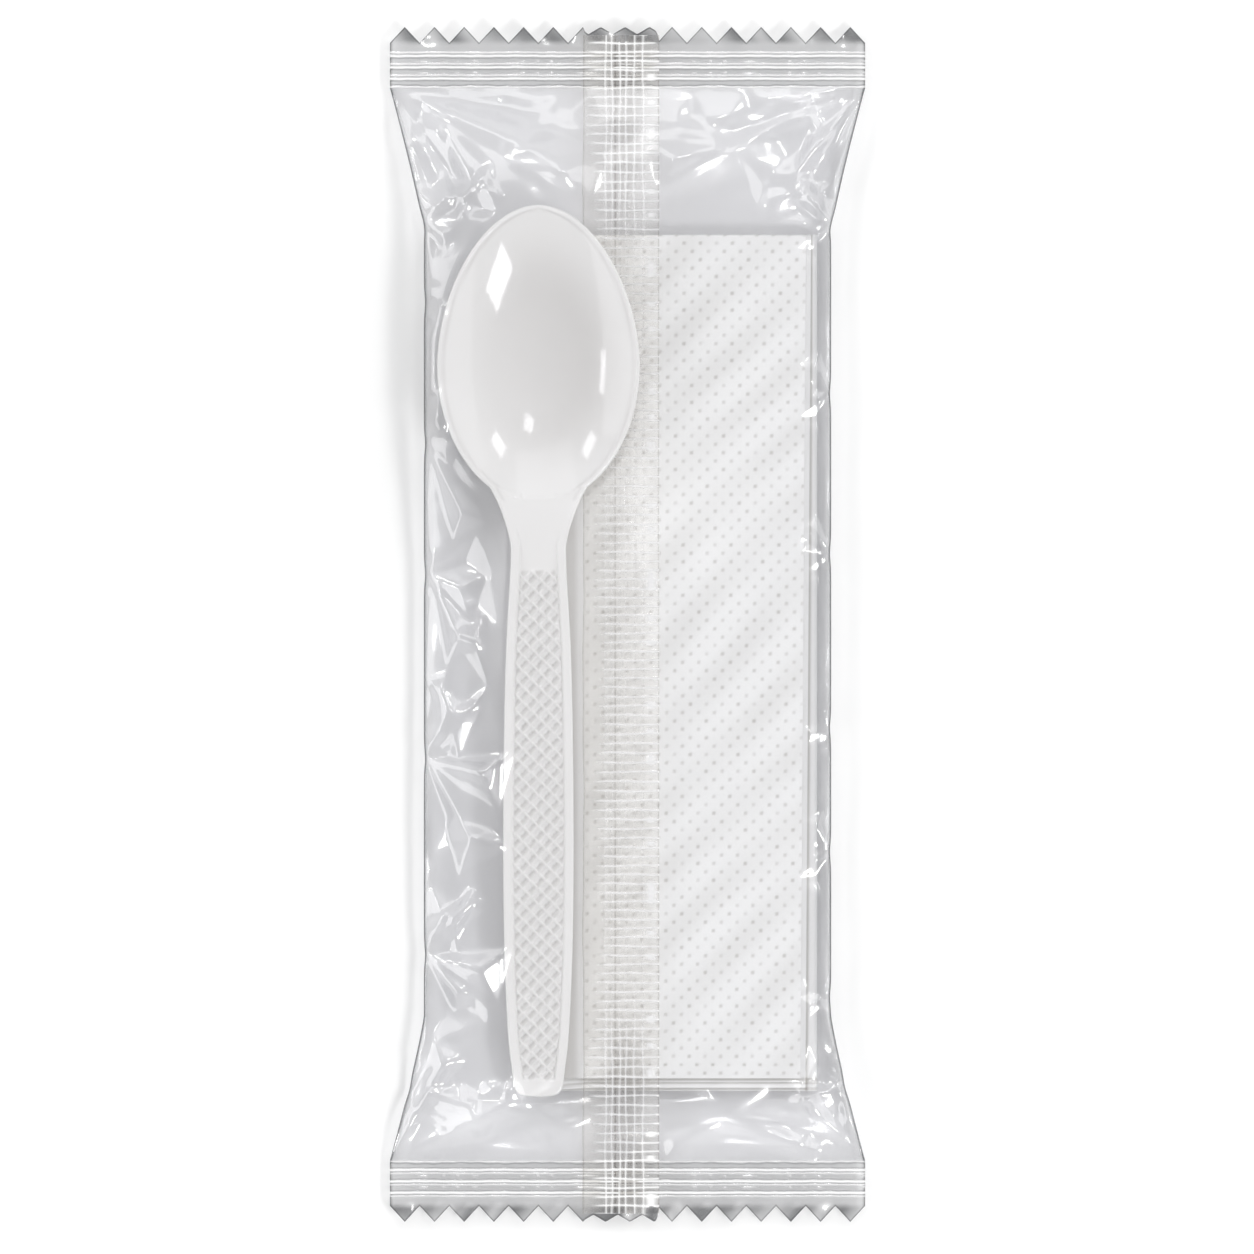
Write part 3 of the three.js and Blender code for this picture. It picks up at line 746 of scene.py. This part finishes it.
def still_points():
    """Points that stay where the film lies on the contents or is held by a seal."""
    held = [(x, side * BODY_HALF) for x in np.linspace(-40, 40, 13) for side in (-1, 1)]
    spoon_edge = [(-25, y) for y in np.linspace(-80, 0, 9)] + [(-28, 15), (-33, 33), (-31.5, 66), (-26, 77)]
    tip = [(-17, 83), (-8, 79), (6, 79)]
    napkin_edge = [(33, y) for y in np.linspace(-84, 70, 12)] + [(x, y) for x in (6, 18) for y in (-88, 78)]
    inner = [(x, y) for x in (-10, 8, 20) for y in np.linspace(-75, 65, 7)]
    return [(x, y, 0) for x, y in held + spoon_edge + tip + napkin_edge + inner + [(-17, -93), (-6, -88)]]


def facets(points, x, y):
    """Flat facets between the points: the height at each x, y."""
    flat = [Vector(point[:2]) for point in points]
    corners, _, faces, *_ = delaunay_2d_cdt(flat, [], [], 0, 0.01)
    lifts = {tuple(round(c, 2) for c in point[:2]): point[2] for point in points}
    height = np.zeros_like(x)
    for face in faces:
        a, b, c = (np.array(corners[i]) for i in face)
        za, zb, zc = (lifts.get(tuple(np.round(corners[i], 2).tolist()), 0) for i in face)
        area = (b[0] - a[0]) * (c[1] - a[1]) - (c[0] - a[0]) * (b[1] - a[1])
        wb = ((x - a[0]) * (c[1] - a[1]) - (c[0] - a[0]) * (y - a[1])) / area
        wc = ((b[0] - a[0]) * (y - a[1]) - (x - a[0]) * (b[1] - a[1])) / area
        inside = (wb >= -1e-6) & (wc >= -1e-6) & (wb + wc <= 1 + 1e-6)
        height = np.where(inside, za * (1 - wb - wc) + zb * wb + zc * wc, height)
    return height


print(len(FRONT_FOLDS), "points where folds meet")

# %% Sharp folds
FOLD_SLOPE = 0.75  # what every fold's own slope is multiplied by
TIP_SLOPE = 0.8  # of the facet that closes each fold at its end


def fold(x, y, start, end, spread, slope):
    """A sharp fold from start to end: three flat facets that widen as they go and meet near its end."""
    run = np.subtract(end, start)
    length = np.hypot(*run)
    along = ((x - start[0]) * run[0] + (y - start[1]) * run[1]) / length
    aside = np.abs((x - start[0]) * run[1] - (y - start[1]) * run[0]) / length
    ridge = np.minimum(spread * along - aside, TIP_SLOPE * (length - along))
    return FOLD_SLOPE * slope * np.clip(ridge, 0, None)


# y of each star on the pouch's two sides, and how far its folds reach
LEFT_STARS = {77.5: 14, 62: 6, 34.8: 7, 9.6: 13, -26: 19, -63.8: 18, -89.8: 17}
RIGHT_STARS = {76.9: 12, 44.5: 8, 13.8: 8, -20: 6, -43.9: 8, -72: 7, -89.3: 12}
STAR_RAYS = (-60, -22, 18, 56)  # degrees from straight across the pouch
RAY_SPREAD, RAY_SLOPES = 0.38, (-0.55, 0.72)  # the rays sink and rise by turns
PLEATS = 11  # along each seal
PLEAT_SPREAD, PLEAT_SLOPES = 0.4, (-0.3, 0.45)
LONG_FOLDS = [
    # start, end, spread and slope: the pouch's corners and the longest folds beside the contents
    ((-45.6, 103.5), (-9, 87.7), 0.14, 0.9), ((-45.6, 103.5), (-30, 82), 0.16, -0.8),
    ((-45.6, 103.5), (-14, 98), 0.12, -0.7), ((-45.6, 103.5), (-39.5, 80), 0.12, 0.9),
    ((-35.2, 96.6), (-28, 80), 0.3, 0.7), ((-25.4, 89.5), (-6, 86), 0.3, 0.6),
    ((-25.4, 89.5), (-12, 99), 0.3, -0.6), ((-25.4, 89.5), (-34, 80), 0.3, 0.6),
    ((45.6, 103.5), (30, 84), 0.14, 0.9), ((45.6, 103.5), (17, 94), 0.12, -0.8),
    ((45.6, 103.5), (38.5, 82), 0.12, 0.8), ((45.6, 103.5), (24, 101), 0.12, 0.7),
    ((20.4, 92.5), (36, 100), 0.28, 0.8), ((20.4, 92.5), (5, 89), 0.3, 0.8),
    ((20.4, 92.5), (29, 82), 0.3, -0.6), ((20.4, 92.5), (10, 100), 0.3, -0.6),
    ((32.3, 86.8), (38, 96), 0.3, 0.7), ((32.3, 86.8), (38.6, 79), 0.3, 0.7),
    ((32.3, 86.8), (24, 82), 0.3, -0.5), ((-45.6, -103.5), (-34, -82), 0.15, 0.9),
    ((-45.6, -103.5), (-20, -91), 0.15, 0.9), ((-45.6, -103.5), (-24, -99), 0.1, -0.8),
    ((-45.6, -103.5), (-39.5, -84), 0.12, -0.8), ((-34.6, -83.7), (-26, -94), 0.3, -0.6),
    ((-20.6, -92), (-9, -99), 0.3, 0.7), ((-20.6, -92), (-12, -89), 0.3, -0.6),
    ((45.6, -103.5), (33, -90), 0.15, 0.9), ((45.6, -103.5), (22, -98), 0.12, 0.8),
    ((45.6, -103.5), (39.5, -86), 0.12, 0.8), ((20.2, -94.5), (6, -102), 0.3, 0.8),
    ((20.2, -94.5), (37, -102), 0.25, 0.8), ((20.2, -94.5), (14, -88), 0.3, -0.6),
    ((20.2, -94.5), (30, -90), 0.3, -0.6), ((33.7, -90.8), (38, -98), 0.3, 0.7),
    ((33.7, -90.8), (37.5, -82), 0.3, -0.6), ((-26.5, -11.9), (-36, -24), 0.3, 0.8),
    ((-26.5, -11.9), (-31, 0), 0.3, 0.7), ((-33.3, -19), (-37, -10), 0.3, 0.8),
    ((-38.7, -26), (-26, -29), 0.22, 0.9), ((-38.7, -26), (-27.5, -46), 0.25, 0.9),
    ((-27.9, -49.5), (-36, -60), 0.3, 0.8), ((-38.9, -63.8), (-31, -73), 0.25, 0.9),
    ((-38.9, -63.8), (-28, -52), 0.2, 0.8), ((-31.4, -69), (-25, -76), 0.3, 0.6),
    ((-38.5, 34.8), (-30, 18), 0.22, 0.9), ((-37.8, 9.6), (-31, -6), 0.25, 0.8),
    ((-35, 48), (-38, 36), 0.3, 0.7),
]
NEAR_SEALS, SHALLOWER = 80, 0.85  # long folds that end further out than 80 mm are 0.85 times as steep


def all_folds(x, y):
    """Every sharp fold: a fan from each star on the pouch's sides, the long ones and the seals' pleats."""
    height = np.zeros_like(x)
    for outwards, stars in ((-1, LEFT_STARS), (1, RIGHT_STARS)):
        for star, reach in stars.items():
            start = (outwards * float(pouch_half_width(star)), star)
            for ray, turned in enumerate(STAR_RAYS):
                angle = math.radians(turned + 8 * math.sin(3 * ray + star))
                length = reach * (0.7 + 0.35 * math.cos(1.9 * ray + star))
                end = (start[0] - outwards * length * math.cos(angle), star + length * math.sin(angle))
                height += fold(x, y, start, end, RAY_SPREAD, RAY_SLOPES[ray % 2])
    for start, end, spread, slope in LONG_FOLDS:
        share = SHALLOWER if abs(end[1]) > NEAR_SEALS else 1
        height += share * fold(x, y, start, end, spread, slope)
    for outwards in (-1, 1):
        for pleat, where in enumerate(np.linspace(-40, 40, PLEATS)):
            length = 6 + 3 * math.sin(2.3 * pleat + outwards)
            start = (where + math.sin(5.1 * pleat), outwards * BODY_HALF)
            end = (start[0] + 2 * math.sin(3.7 * pleat), outwards * (BODY_HALF - length))
            height += fold(x, y, start, end, PLEAT_SPREAD, PLEAT_SLOPES[pleat % 2])
    return height


def soften(height, times):
    """Rounds the folds a little: each point moves towards its neighbours."""
    for _ in range(times):
        height[1:-1] = (height[:-2] + 2 * height[1:-1] + height[2:]) / 4
        height[:, 1:-1] = (height[:, :-2] + 2 * height[:, 1:-1] + height[:, 2:]) / 4
    return height


print(len(LONG_FOLDS), "long folds and", len(LEFT_STARS) + len(RIGHT_STARS), "stars")

# %% Wrap the web into a tube
FRONT_STEPS = (0, 8, 64, 138, 178, 186)  # columns up to each place, closer where the folds are
FRONT_PLACES = (-1, -0.985, -0.55, 0.78, 0.985, 1)
BACK_STEPS = (0, 8, 51, 59)
BACK_PLACES = (1, 0.985, -0.985, -1)
TUBE_ROWS = 345
SIDE_ROUNDNESS = 8  # the sides are the ends of a superellipse of this power
CREASE_SHARE = 0.45  # where the side's crease lies, from the back film to the front
front_u = np.interp(np.arange(FRONT_STEPS[-1] + 1), FRONT_STEPS, FRONT_PLACES)
back_u = np.interp(np.arange(BACK_STEPS[-1] + 1), BACK_STEPS, BACK_PLACES)
tube = flat_grid("film_tube", len(front_u) + len(back_u), TUBE_ROWS)
print("tube grid:", len(front_u) + len(back_u), "by", TUBE_ROWS, "points")
along = np.linspace(-BODY_HALF, BODY_HALF, TUBE_ROWS)


def tube_outline(u, y):
    """Each point's x, how far it is up the pouch's rounded side, and the height of that side's crease."""
    half = pouch_half_width(y)
    x = u * (half - np.abs(u) ** 6 * side_notches(u, y) * ease((BODY_HALF - np.abs(y)) / 6))
    side = (1 - np.abs(u) ** SIDE_ROUNDNESS) ** (1 / SIDE_ROUNDNESS)
    return x, side, mix(pouch_floor(y), pouch_roof(np.sign(u) * half, y), CREASE_SHARE)


# %% The front film
# It has three kinds of relief: flat facets between the fold points, sharp folds, and a soft swell where
# it is slack.
u, y = np.meshgrid(front_u, along)
x, side, crease_z = tube_outline(u, y)
front_z = mix(crease_z, pouch_roof(x, y), side)
swell = 0.16 * np.sin(x / 3.1 + 1.3 * np.sin(y / 7)) * np.sin(y / 4.3 + 0.9 * np.sin(x / 5))
broad = np.sin(x / 6.5 + 1.1 * np.sin(y / 6)) * np.sin(y / 5 + 0.7)
swell = swell + 0.8 * ease((np.abs(y) - 78) / 8) * broad
loose = [(point[0], point[1], 0) for point in FRONT_FOLDS]
slack = np.clip(1 - facets([(*point[:2], 1) for point in still_points()] + loose, x, y), 0, 1)
share = mix(0.4, 0.6, ease((np.abs(y) - 74) / 8))
lift = soften(share * facets(FRONT_FOLDS + still_points(), x, y), 2) + swell * slack
lift = lift + soften(all_folds(x, y), 1)
front_z = np.maximum(front_z + lift, pouch_floor(y) + 0.3)
front = (x, y, front_z)
print("front film up to", round(float(front_z.max()), 1), "mm")
from_side = (1 - np.abs(u)) * pouch_half_width(y)
# painted shade: a dark line along each side of the pouch, with a grey band just inside it
painted_side_shade = 0.9 * bump(from_side, 0.35) + 0.22 * bump(from_side, 1.7)

# %% The back film
u, y = np.meshgrid(back_u, along)
x, side, crease_z = tube_outline(u, y)
under_napkin = ease((x - napkin_low[0] + 3) / 3) * ease((napkin_high[0] + 2 - x) / 2)
under_napkin = under_napkin * ease((napkin_high[1] + 3 - y) / 3) * ease((y - napkin_low[1] + 3) / 3)
back_swell = 0.3 * np.sin(x / 3.7) * np.sin(y / 5.1)
back_lift = np.clip(soften(0.4 + 0.4 * all_folds(x, -y) + back_swell, 2), 0, 1.6)
back_lift = back_lift * (1 - under_napkin) * ease((BODY_HALF - np.abs(y)) / 3)
back_z = mix(crease_z, pouch_floor(y) + back_lift, side)
back = (x, y, back_z)
place_points(tube, *[np.hstack([a, b]) for a, b in zip(front, back)])
paint(tube, "edge", np.hstack([painted_side_shade, np.zeros_like(back_z)]))
close_up(tube)

# %% [markdown]
# ### The fin seal
# The web's two edges are pressed together between heated wheels and folded flat. The wheels' teeth
# leave a grid of crimp lines, which scatter light and look white.

# %% Fin seal
FIN_EDGE_Z = 4.3  # the free edge's height
FIN_LEVEL_TO = 91  # beyond this the free edge goes to the seals' height
CRIMP_PITCH = 1.78
CRIMP_COLUMNS = (3.1, 4.8, 6.4, 7.6, 9.1, 10.3)  # from the root
MIDDLE_LINE = 8.5  # where the web's own edge shows through
fin_across = np.linspace(0, 1, 60)
fin_along = np.linspace(-HALF_LENGTH + 1.6, HALF_LENGTH - 1.6, 1400)
fin = flat_grid("fin_seal", len(fin_across), len(fin_along))
s, y = np.meshgrid(fin_across, fin_along)
in_body = np.clip(y, -BODY_HALF, BODY_HALF)
free = 1 - ease((np.abs(in_body) - FIN_LEVEL_TO) / (BODY_HALF - FIN_LEVEL_TO))
root = pouch_roof(np.full_like(y, FIN_ROOT_X), in_body) - 0.05
edge = mix(SEAL_Z + 0.2, FIN_EDGE_Z, free)
fin_z = mix(root, edge, 1 - (1 - s) ** 2.2)
from_root = s * FIN_WIDTH
print("fin grid:", len(fin_across), "by", len(fin_along), "points")

# %% Its crimps
wander = 0.35 * np.sin(y / 7.3) + 0.2 * np.sin(y / 2.9)
near_end = ease((np.abs(y) - 72) / 12)
taper = ease((mix(12.6, 14.2, near_end) + 2 * wander - from_root) / 3)
step = y + 0.3 * np.sin(y / 9) + 0.1 * np.sin(from_root / 2.2 + y)
cross_line = taper * bump(step - CRIMP_PITCH * np.round(step / CRIMP_PITCH), 0.17)
long_line = sum(bump(from_root - place - 0.1 * np.sin(y / 3 + place), 0.17) for place in CRIMP_COLUMNS)
pinched = ease((np.sin(0.83 * y + 2 * np.sin(0.31 * y)) - 0.7) / 0.25) * bump(from_root - 1.6, 0.9)
crimp = np.clip(cross_line + mix(0.22, 0.7, near_end) * long_line + pinched + 0.05, 0, 1)
# the cells between the crimp lines are darker near the ends
cells = near_end * bump(from_root - 6.6, 3.2) * (1 - np.clip(cross_line + long_line, 0, 1))
# painted shade: dark lines along the fin's root and free edge
painted_fin_outline = bump(from_root, 0.2) + bump(FIN_WIDTH - from_root, 0.2)
dark = bump(from_root - MIDDLE_LINE - 0.15 * wander, 0.15) + painted_fin_outline
x = FIN_ROOT_X - from_root + 0.25 * wander * s**4
place_points(fin, x, y, fin_z + 0.16 * crimp)
paint(fin, "crimp", crimp)
paint(fin, "edge", np.clip(0.5 * dark + 0.35 * cells, 0, 1))
close_up(fin)

# %% [markdown]
# ### The end seals
# Both plies are pressed between ribbed jaws and cut by a serrated knife, so each end has three ribs
# and a row of teeth.

# %% End seals
TEETH = 16
TOOTH_DEPTH = 3.1
RIB_AT = (1.8, 4.0, 6.2)  # from the pouch's body
seal_across = np.linspace(-1, 1, TEETH * 16 + 1)
seal_steps = np.linspace(0, 1, 92)


def end_seal(name, end):
    """One end seal. end is 1 at the bowl's end of the pack, and -1 at the other."""
    seal = flat_grid(name, len(seal_across), len(seal_steps))
    u, v = np.meshgrid(seal_across, seal_steps)
    x = u * SEAL_HALF_WIDTH
    saw = np.abs(((u + 1) / 2 * TEETH + 0.5) % 1 - 0.5) * 2
    over_fin = ease((FIN_WIDTH / 2 - np.abs(x - FIN_ROOT_X + FIN_WIDTH / 2)) / 0.5)
    small_saw = 0.55 + 0.45 * np.abs((x / 4.7 + 0.1 * end) % 1 - 0.5) * 2
    trim = SEAL_DEPTH - TOOTH_DEPTH * (1 - mix(saw, small_saw, over_fin))
    straight = SEAL_DEPTH - TOOTH_DEPTH
    out = np.where(v < 0.75, v / 0.75 * (straight - 0.6), mix(straight - 0.6, trim, (v - 0.75) / 0.25))
    jitter = 0.02 * np.sin(u * 83) + 0.03 * np.sin(u * 19 + end)
    from_ribs = [out - place + jitter for place in RIB_AT]
    ribs = sum(bump(away, 0.2) + 0.6 * bump(away - 0.62, 0.12) for away in from_ribs)
    dash = ease(2.5 * np.sin(u * 61 + 3 * np.sin(u * 17)) - 1.5)
    ribs = ribs + 0.5 * dash * sum(bump(out - place - 1.1 - 2 * jitter, 0.12) for place in RIB_AT[:2])
    ribs = ribs + 0.6 * bump(out - 0.15 - 2 * jitter, 0.14)
    # painted shade: dark lines beside each rib, and near the pouch's body
    painted_groove_shade = sum(bump(away - 0.34, 0.12) + bump(away + 0.36, 0.14) for away in from_ribs)
    painted_groove_shade = painted_groove_shade + 0.8 * bump(out - 0.5 - 3 * jitter, 0.15)
    curl = 0.4 * np.sin(u * 11 + end) * ease((out - 7) / 5) + 0.12 * np.sin(u * 37 + 2 * end)
    curl = curl + 0.32 * ease((out - 7.4) / 3) * np.sin(u * 29 + 4 * np.sin(u * 7 + end))
    # painted shade: a dark outline along the teeth and the seal's two sides
    painted_outline_shade = bump(trim - out, 0.2) + bump(SEAL_HALF_WIDTH - np.abs(x), 0.3)
    patches = np.sin(u * 23 + 2 * np.sin(u * 9 + end) + 0.5 * out)
    # darker over the teeth, in soft patches
    cloud = 0.06 + ease((out - 8) / 1.5) * (0.5 + 0.28 * patches)
    place_points(seal, x, end * (BODY_HALF + out), SEAL_Z + 0.22 * ribs + curl)
    paint(seal, "crimp", np.clip(0.9 * ribs, 0, 1))
    paint(seal, "edge", np.clip(cloud + 0.9 * painted_outline_shade + 0.55 * painted_groove_shade, 0, 1))
    close_up(seal)
    return seal


end_seals = [end_seal("end_seal_bowl_end", 1), end_seal("end_seal_handle_end", -1)]

# %% [markdown]
# ### Clear film
# Biaxially oriented polypropylene film, 0.04 mm thick. Each ply sends back part of the light and lets
# the rest through, so it is seen by its reflections. Clean flat film sends back a few percent. The
# shares here are larger, so that the folds show. Where the hot jaws bit, the film has
# turned milky. Its thickness ripples over about 4 mm: a noise scale of 230 to the metre.

# %% Film materials
ONE_PLY = 0.15  # share of the light that the tube's film sends back, seen square on
TWO_PLIES = 0.2  # the same at the end seals
FIN_PLIES = 0.07  # the same at the fin


def clear_film(name, sent_back, milky, clear, edge_on):
    """The film's material: milky where the crimp attribute says, if at all, and darker where the edge
    attribute's painted shade says.
    """
    material, tree = new_material(name)
    slant = add_node(tree, "ShaderNodeLayerWeight", {"Blend": 0.5})
    steep = add_node(tree, "ShaderNodeMath", {0: slant.outputs["Facing"], 1: 5.0}, operation="POWER")
    mirror = add_node(
        tree, "ShaderNodeMapRange", {"Value": steep.outputs[0], "To Min": sent_back, "To Max": 0.3}
    )
    # the edge attribute darkens what passes through: painted shade at edges, folds and ribs; steep film
    # darkens too
    rim = add_node(tree, "ShaderNodeAttribute", attribute_name="edge")
    deep = add_node(
        tree, "ShaderNodeMath", {0: steep.outputs[0], 1: rim.outputs["Fac"]}, operation="MAXIMUM"
    )
    tint = add_node(
        tree,
        "ShaderNodeMix",
        {"Factor": deep.outputs[0], 6: srgb(clear), 7: srgb(edge_on)},
        data_type="RGBA",
    )
    through = add_node(tree, "ShaderNodeBsdfTransparent", {"Color": tint.outputs[2]})
    where = add_node(tree, "ShaderNodeTexCoord").outputs["Object"]
    gauge = add_node(tree, "ShaderNodeTexNoise", {"Vector": where, "Scale": 230, "Detail": 2})
    ripple = add_node(
        tree, "ShaderNodeBump", {"Height": gauge.outputs["Fac"], "Strength": 0.3, "Distance": 0.00005}
    )
    gloss = add_node(
        tree,
        "ShaderNodeBsdfGlossy",
        {"Color": srgb("#ffffff"), "Roughness": 0.12, "Normal": ripple.outputs[0]},
    )
    sheen = add_node(tree, "ShaderNodeBsdfGlossy", {"Color": srgb("#ffffff"), "Roughness": 0.33})
    shine = add_node(tree, "ShaderNodeMixShader", {0: 0.45, 1: gloss.outputs[0], 2: sheen.outputs[0]})
    film = add_node(
        tree, "ShaderNodeMixShader", {0: mirror.outputs[0], 1: through.outputs[0], 2: shine.outputs[0]}
    )
    surface = film.outputs[0]
    if milky:
        crimp = add_node(tree, "ShaderNodeAttribute", attribute_name="crimp")
        amount = add_node(
            tree, "ShaderNodeMath", {0: crimp.outputs["Fac"], 1: milky}, operation="MULTIPLY"
        )
        haze = add_node(tree, "ShaderNodeBsdfDiffuse", {"Color": srgb("#ffffff")})
        surface = add_node(
            tree, "ShaderNodeMixShader", {0: amount.outputs[0], 1: surface, 2: haze.outputs[0]}
        ).outputs[0]
    add_node(tree, "ShaderNodeOutputMaterial", {"Surface": surface})
    return material


bopp = clear_film("bopp_film", ONE_PLY, 0, "#fafafb", "#5c5f63")
bopp_fin = clear_film("bopp_film_fin_seal", FIN_PLIES, 0.85, "#fdfcfa", "#8f8880")
bopp_crimped = clear_film("bopp_film_crimped", TWO_PLIES, 0.95, "#efeff0", "#45484c")
print("film materials:", bopp.name, bopp_fin.name, bopp_crimped.name)
for piece, material in [(tube, bopp), (fin, bopp_fin), *[(seal, bopp_crimped) for seal in end_seals]]:
    piece.data.materials.append(material)
    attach(piece, "root")
    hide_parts("film_wrapper")
